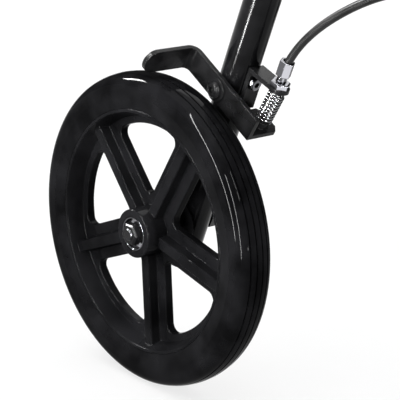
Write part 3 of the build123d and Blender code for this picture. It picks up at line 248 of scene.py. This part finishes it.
grip = Shader("grip_rubber", specular=0.35, edge=0.0006)
wave = grip.node("ShaderNodeTexWave")
wave.wave_type, wave.bands_direction, wave.wave_profile = "BANDS", "Y", "SIN"
wave.inputs["Scale"].default_value = 60
wave.inputs["Distortion"].default_value = 0
grip.link(grip.coordinates(), wave.inputs["Vector"])
grip.bump(wave.outputs["Fac"], 0.7, 0.0012)
grip.vary_color(grip.noise(60), grey(0.009), grey(0.02))
grip.vary_rough(grip.noise(90), 0.5, 0.7)
grip.bump(grip.noise(1500, 3), 0.4, 0.00012)

vinyl = Shader("pad_vinyl", specular=0.25)
vinyl.vary_color(vinyl.noise(12, 5), grey(0.01, 1.05), grey(0.02, 1.05))
cells = vinyl.node("ShaderNodeTexVoronoi")
cells.feature = "SMOOTH_F1"
cells.inputs["Scale"].default_value = 420
cells.inputs["Smoothness"].default_value = 0.6
vinyl.link(vinyl.coordinates(), cells.inputs["Vector"])
vinyl.bump(cells.outputs["Distance"], 0.45, 0.0004)
vinyl.bump(vinyl.noise(45, 4), 0.2, 0.001)
vinyl.vary_rough(vinyl.noise(35, 5), 0.36, 0.52)

piping = Shader("pad_piping", specular=0.4)
piping.vary_color(piping.noise(80), grey(0.012), grey(0.024))
piping.vary_rough(piping.noise(70), 0.42, 0.6)
piping.bump(piping.noise(900, 3), 0.4, 0.0002)

floor_look = Shader("floor", specular=0.2)
floor_look.set("Roughness", 0.7)
floor_look.vary_color(floor_look.noise(3), grey(0.9), grey(0.93))

blued = Shader("blued_bolt", metallic=1.0, edge=0.0005)
blued.vary_rough(blued.noise(180), 0.16, 0.3)
blued.vary_color(blued.noise(120), grey(0.012, 1.05), grey(0.03, 1.05))

FINISHES = {
    "powder_coat": powder,
    "black_steel": satin,
    "wheel_plastic": plastic,
    "tyre_rubber": tyre,
    "chrome": chrome,
    "spring_wire": spring,
    "blued_bolt": blued,
    "plated_steel": plated,
    "bearing_steel": bearing,
    "grip_rubber": grip,
    "pad_vinyl": vinyl,
    "cable_black": jacket,
    "black_plastic": moulded,
    "aluminium": alloy,
}
slot_of = {entry["node"]: entry["material_slot"] for entry in frame["record"]["subparts"]}


def dress(piece, finish):
    piece.data.materials.clear()
    piece.data.materials.append(FINISHES[finish].material)


for name, piece in nodes.items():
    dress(piece, slot_of[name])
dress(nodes["rear_axle_bolts"], "blued_bolt")
for name in ("barrel_adjusters", "adjuster_locknuts", "bracket_bolts"):
    dress(nodes[name], "plated_steel")

# ------------------------------------------------------------------ brake cables
LEAN = radians(12)
STEER_U, STEER_H = Vector((cos(LEAN), 0, sin(LEAN))), Vector((-sin(LEAN), 0, cos(LEAN)))
AXLE_Z = 0.1016
LEG_LEAN = radians(22.3)
RAIL_Y = 0.156
CABLE_R = 0.0025


def steer(u, y, h):
    """A point in the steering axis's frame, given in millimetres."""
    return Vector((0.275, y / 1000, AXLE_Z)) + STEER_U * u / 1000 + STEER_H * h / 1000


def leg(s, t):
    """A point over the right rear leg's centre-line, given in millimetres."""
    along, out = Vector((sin(LEG_LEAN), 0, cos(LEG_LEAN))), Vector((cos(LEG_LEAN), 0, -sin(LEG_LEAN)))
    return Vector((-0.275, -RAIL_Y, AXLE_Z)) + out * s / 1000 + along * t / 1000


def tube(name, points, radius, material, closed=False):
    """A round tube along one smooth spline, as a mesh with even rings."""
    data = bpy.data.curves.new(name, "CURVE")
    data.dimensions = "3D"
    spline = data.splines.new("NURBS")
    spline.points.add(len(points) - 1)
    for point, place in zip(spline.points, points):
        point.co = (*place, 1)
    spline.order_u = 3
    spline.use_endpoint_u = not closed
    spline.use_cyclic_u = closed
    data.resolution_u = 4 if closed else 14
    data.bevel_depth = radius
    data.bevel_resolution = 5
    data.use_fill_caps = True
    curve = bpy.data.objects.new(name + "_line", data)
    scene.collection.objects.link(curve)
    bpy.context.view_layer.update()
    mesh = bpy.data.meshes.new_from_object(curve.evaluated_get(bpy.context.evaluated_depsgraph_get()))
    bpy.data.objects.remove(curve)
    piece = bpy.data.objects.new(name, mesh)
    scene.collection.objects.link(piece)
    mesh.shade_smooth()
    mesh.materials.clear()
    mesh.materials.append(material)
    return piece


def mirrored(points):
    return [Vector((p.x, -p.y, p.z)) for p in points]


RAIL_Z = AXLE_Z + 0.2 * cos(LEG_LEAN)
CABLE_Z = RAIL_Z - 0.0137
TURN = Vector((-0.020, -RAIL_Y, CABLE_Z))
HEAD = Vector((0.275 - sin(LEAN) / cos(LEAN) * (RAIL_Z - AXLE_Z), 0, CABLE_Z))
RAIL = (HEAD - TURN).normalized()
CLIP_END = HEAD - RAIL * 0.082
frame_route = [
    leg(33.8, 132),
    leg(33.8, 144),
    Vector((-0.164, -RAIL_Y, AXLE_Z + 0.1429)),
    Vector((-0.125, -RAIL_Y, AXLE_Z + 0.163)),
    Vector((-0.089, -RAIL_Y, CABLE_Z)),
    Vector((-0.055, -RAIL_Y, CABLE_Z)),
    TURN,
    TURN + RAIL * 0.04,
    CLIP_END,
]
steer_route = [
    CLIP_END,
    CLIP_END + RAIL * 0.012,
    steer(-8, -35, 178),
    steer(15, -35, 194),
    steer(29, -24, 218),
    steer(33, -10, 244),
    steer(33, -10, 254),
    steer(33, -10, 264),
]
fold_route = [
    steer(33, -10, 264),
    steer(33, -10, 288),
    steer(21.5, -6, 326),
    steer(21.5, -6, 340),
    steer(21.5, -6, 353),
]


def stem_route(side):
    y, h = side * 6.0, -side * 4.0
    return [
        steer(21.5, y, 353),
        steer(21.5, y, 420),
        steer(21.5, y, 480),
        steer(21.5, y, 492),
        steer(26.5, y, 517),
        steer(28, y, 560),
        steer(36, 0.7 * y - 2, 612),
        steer(41, 0.6 * y - 8, 662 + 0.3 * h),
        steer(39, 0.5 * y - 19, 708 + 0.5 * h),
        steer(33, 0.3 * y - 34, 750 + 0.8 * h),
        steer(24, -46, 780 + h),
        steer(17, -58, 790 + h),
        steer(17, -71, 790 + h),
    ]


def join(name, parts):
    """One object from several, which are used up."""
    mesh = bpy.data.meshes.new(name)
    whole = bmesh.new()
    for part in parts:
        whole.from_mesh(part.data)
    whole.to_mesh(mesh)
    whole.free()
    piece = bpy.data.objects.new(name, mesh)
    scene.collection.objects.link(piece)
    mesh.materials.append(parts[0].data.materials[0])
    mesh.shade_smooth()
    for part in parts:
        bpy.data.objects.remove(part)
    return piece


def cable_pair(name, *routes):
    return join(
        name, [tube(f"{name}_{i}", route, CABLE_R, jacket.material) for i, route in enumerate(routes)]
    )


def both(name, route):
    return cable_pair(name, route, mirrored(route))


line = both("cable_rails", frame_route)
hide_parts("cables_frame")
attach(line, "frame")
line = both("cable_steering", steer_route)
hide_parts("cables_steer")
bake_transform(line)
line = both("cable_hinge", fold_route)
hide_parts("cables_fold")
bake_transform(line)
line = cable_pair("cable_stem", stem_route(-1), stem_route(1))
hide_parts("cables_stem")
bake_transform(line)

# ------------------------------------------------------------------ brake springs and wires
for word in ("right", "left"):
    for kind, finish in (("brake_spring", "spring_wire"), ("inner_wire", "bearing_steel")):
        node = nodes[f"{kind}_{word}"]
        piece = bpy.data.objects.new(f"{kind}_shape_{word}", node.data.copy())
        scene.collection.objects.link(piece)
        dress(piece, finish)
        low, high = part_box(f"brake_spring_{word}")
        middle = (Vector(low) + Vector(high)) / 2
        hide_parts(f"{kind}_{word}")
        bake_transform(piece)

# ------------------------------------------------------------------ hub snap rings
RING_R, RING_WIRE_R, RING_INSET = 0.0104, 0.00055, 0.0006
for place in ("rear_right", "rear_left", "front_right", "front_left"):
    low, high = (Vector(corner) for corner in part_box(f"rim_{place}"))
    middle = (low + high) / 2
    rings = []
    for i, y in enumerate((low.y + RING_INSET, high.y - RING_INSET)):
        turn = [2 * pi * k / 48 for k in range(48)]
        points = [Vector((middle.x + RING_R * cos(a), y, middle.z + RING_R * sin(a))) for a in turn]
        rings.append(tube(f"hub_ring_{place}_{i}", points, RING_WIRE_R, plated.material, closed=True))
    ring = join(f"hub_rings_{place}", rings)
    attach(ring, f"wheel_{place}")

# ------------------------------------------------------------------ knee pads
LENGTH, HEIGHT, WIDTH = 0.228, 0.060, 0.0875
PAD_X, PAD_Y, PAD_Z = -0.075, 0.0475, 0.380
CORNER_POWER = 5.0  # of the superellipse
CROWN, CROWN_POWER = 0.0034, 2.2  # the top's rise from its rim to its middle, and how it levels off
TAPER = 1.6  # how much more the sides pull in across the pad than along it
PIPING_R = 0.0014


def outline(angle, half_x, half_y, power):
    """A rounded rectangle as a superellipse, by angle."""
    c, s = cos(angle), sin(angle)
    r = (abs(c / half_x) ** power + abs(s / half_y) ** power) ** (-1 / power)
    return r * c, r * s


def pad(side, name):
    """A crowned cushion: flat base, sides that pull in at the two seams, and a domed top."""
    steps = 144
    rings = []
    sides = (
        (0.0000, 0.968), (0.0010, 0.978), (0.0050, 0.986), (0.0120, 0.992), (0.0200, 0.995),
        (0.0280, 0.996), (0.0360, 0.994), (0.0420, 0.988), (0.0445, 0.981), (0.0455, 0.978),
        (0.0465, 0.980), (0.0490, 0.980), (0.0520, 0.965), (0.0545, 0.935), (0.0562, 0.89),
    )
    for z, share in sides:
        ring = []
        for i in range(steps):
            a = 2 * pi * i / steps
            sag = 1 - 0.006 * cos(4 * a) * (z / HEIGHT)
            x, y = outline(a, LENGTH / 2, WIDTH / 2, CORNER_POWER)
            ring.append((x * share * sag, y * (1 - (1 - share) * TAPER) * sag, z))
        rings.append(ring)
    last = rings[-1]
    for k in range(1, 15):
        t = k / 15
        ring = []
        for x, y, z in last:
            u, v = x * (1 - t), y * (1 - t)
            ring.append((u, v, z + CROWN * (1 - (1 - t) ** CROWN_POWER)))
        rings.append(ring)
    mesh = bpy.data.meshes.new(name)
    shape = bmesh.new()
    verts = [
        [shape.verts.new((PAD_X + x, side * PAD_Y + y, PAD_Z + z)) for x, y, z in ring]
        for ring in rings
    ]
    for low, high in zip(verts, verts[1:]):
        for i in range(steps):
            j = (i + 1) % steps
            shape.faces.new((low[i], low[j], high[j], high[i]))
    shape.faces.new(list(reversed(verts[0])))
    shape.faces.new(verts[-1])
    bmesh.ops.recalc_face_normals(shape, faces=shape.faces)
    shape.to_mesh(mesh)
    shape.free()
    piece = bpy.data.objects.new(name, mesh)
    scene.collection.objects.link(piece)
    mesh.shade_smooth()
    dress(piece, "pad_vinyl")
    return piece


def seam(side, name, z, share):
    """Piping round the pad at one height, with a closed loop of points."""
    points = []
    for i in range(96):
        x, y = outline(2 * pi * i / 96, LENGTH / 2, WIDTH / 2, CORNER_POWER)
        across = y * (1 - (1 - share) * TAPER)
        points.append(Vector((PAD_X + x * share, side * PAD_Y + across, PAD_Z + z)))
    piece = tube(name, points, PIPING_R, piping.material, closed=True)
    return piece


for side, word in ((-1, "right"), (1, "left")):
    cushion = pad(side, f"pad_cushion_{word}")
    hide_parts("knee_pads")
    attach(cushion, "knee_rest")
    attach(seam(side, f"pad_piping_top_{word}", 0.0456, 0.984), "knee_rest")
    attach(seam(side, f"pad_piping_base_{word}", 0.0030, 0.985), "knee_rest")

# ------------------------------------------------------------------ floor and light
floor_mesh = bpy.data.meshes.new("floor")
floor_shape = bmesh.new()
bmesh.ops.create_grid(floor_shape, x_segments=8, y_segments=8, size=20)
floor_shape.to_mesh(floor_mesh)
floor_shape.free()
floor = bpy.data.objects.new("floor", floor_mesh)
floor_mesh.materials.append(floor_look.material)
scene.collection.objects.link(floor)

world = bpy.data.worlds.new("studio")
scene.world = world
world.use_nodes = True
sky = world.node_tree.nodes["Background"]
rays = world.node_tree.nodes.new("ShaderNodeLightPath")
shade = world.node_tree.nodes.new("ShaderNodeMapRange")
shade.inputs["To Min"].default_value = 0.08
shade.inputs["To Max"].default_value = 1.0
world.node_tree.links.new(rays.outputs["Is Camera Ray"], shade.inputs["Value"])
world.node_tree.links.new(shade.outputs["Result"], sky.inputs["Strength"])
sky.inputs["Color"].default_value = (1, 1, 1, 1)


def group(name, pieces):
    """A collection that a light can be limited to."""
    collection = bpy.data.collections.new(name)
    for piece in pieces:
        collection.objects.link(piece)
    return collection


pieces = [o for o in scene.objects if o.type == "MESH" and o is not floor]
CORNER = (
    "bearings_rear_right", "arm_right", "rear_axle", "lock_nuts", "washers", "tube_end", "arm_pivot",
    "bracket", "spring", "inner_wire", "adjuster", "cable_rails", "hub_rings_rear_right",
)
wheel = group("wheel", [nodes["rim_rear_right"], nodes["tyre_rear_right"]])
rail = group("rail", [nodes["rail_right"]])
corner = group("corner", [o for o in pieces if any(word in o.name for word in CORNER)])
close = set(wheel.objects) | set(rail.objects) | set(corner.objects)
others = group("others", [o for o in pieces if o not in close])
whole = group("whole", pieces)
ground = group("ground", [floor])


def light(name, kind, place, aim, receivers):
    data = bpy.data.lights.new(name, kind)
    lamp = bpy.data.objects.new(name, data)
    place, aim = Vector(place), Vector(aim)
    turn = (place - aim).to_track_quat("Z", "Y").to_matrix().to_4x4()
    lamp.matrix_world = Matrix.Translation(place) @ turn
    lamp.visible_camera = False
    scene.collection.objects.link(lamp)
    lamp.light_linking.receiver_collection = receivers
    return lamp


def softbox(name, place, aim, width, height, radiance, receivers):
    """A rectangular light of one brightness; its power follows from its size."""
    lamp = light(name, "AREA", place, aim, receivers)
    lamp.data.shape, lamp.data.size, lamp.data.size_y = "RECTANGLE", width, height
    lamp.data.energy = radiance * pi * width * height


WHEEL_TOP = (-0.275, -0.19, 0.2)
WHEEL_BOOST, OTHER_WHEELS_BOOST = 2.0, 18  # dull black rubber and plastic need brighter lamps
STRIPS = (
    ("near", (-0.320, -0.62, 0.52), (-0.275, -0.15, 0.52), 0.02, 1.0, 420),
    ("low", (0.05, -0.62, 0.20), WHEEL_TOP, 0.02, 0.5, 420),
    ("side", (0.85, -0.25, 0.62), (-0.275, -0.19, 0.62), 0.05, 1.2, 260),
    ("left", (-1.41, -0.56, 1.0), (-0.275, -0.19, 0.15), 0.2, 0.4, 260),
    ("back", (-0.86, 0.78, 1.43), WHEEL_TOP, 0.6, 0.6, 4),
)
for label, place, aim, width, height, radiance in STRIPS:
    softbox(f"{label}_wheel", place, aim, width, height, radiance * WHEEL_BOOST, wheel)
    softbox(f"{label}_corner", place, aim, width, height, radiance, corner)
    if label != "side":
        softbox(f"{label}_rail", place, aim, width, height, radiance, rail)
fittings = group("fittings", [nodes["barrel_adjusters"], nodes["adjuster_locknuts"]])
softbox("fittings", (-0.094, -0.181, 0.10), (-0.190, -0.1576, 0.212), 0.1, 0.1, 4, fittings)
wheels = group("wheels", [o for o in others.objects if o.name.startswith(("rim_", "tyre_"))])
MIDDLE = (0, 0, 0.5)
PANELS = (
    ("right", (0.6, -2.2, 1.3), 16),
    ("left", (-0.4, 2.2, 1.3), 12),
    ("front", (2.4, 0.5, 1.2), 12),
    ("rear", (-2.4, -0.4, 1.2), 12),
)
for label, place, radiance in PANELS:
    softbox(f"panel_{label}", place, MIDDLE, 0.5, 1.8, radiance, others)
    softbox(f"panel_{label}_wheels", place, MIDDLE, 0.3, 1.8, radiance * OTHER_WHEELS_BOOST, wheels)
softbox("overhead", (-0.2, 0.1, 3.0), (-0.2, 0.1, 0), 3.6, 3.6, 4.4, whole)
fill = light("floor_fill", "SUN", (0, 0, 5), (0, 0, 0), ground)
fill.data.energy = 2.75
fill.light_linking.blocker_collection = ground
shadow = light("floor_shadow", "SUN", (0, 0, 5), (0, 0, 0), ground)
shadow.data.energy = 0.8
shadow.data.angle = radians(90)

scene.view_settings.view_transform = "Standard"
scene.view_settings.look = "None"
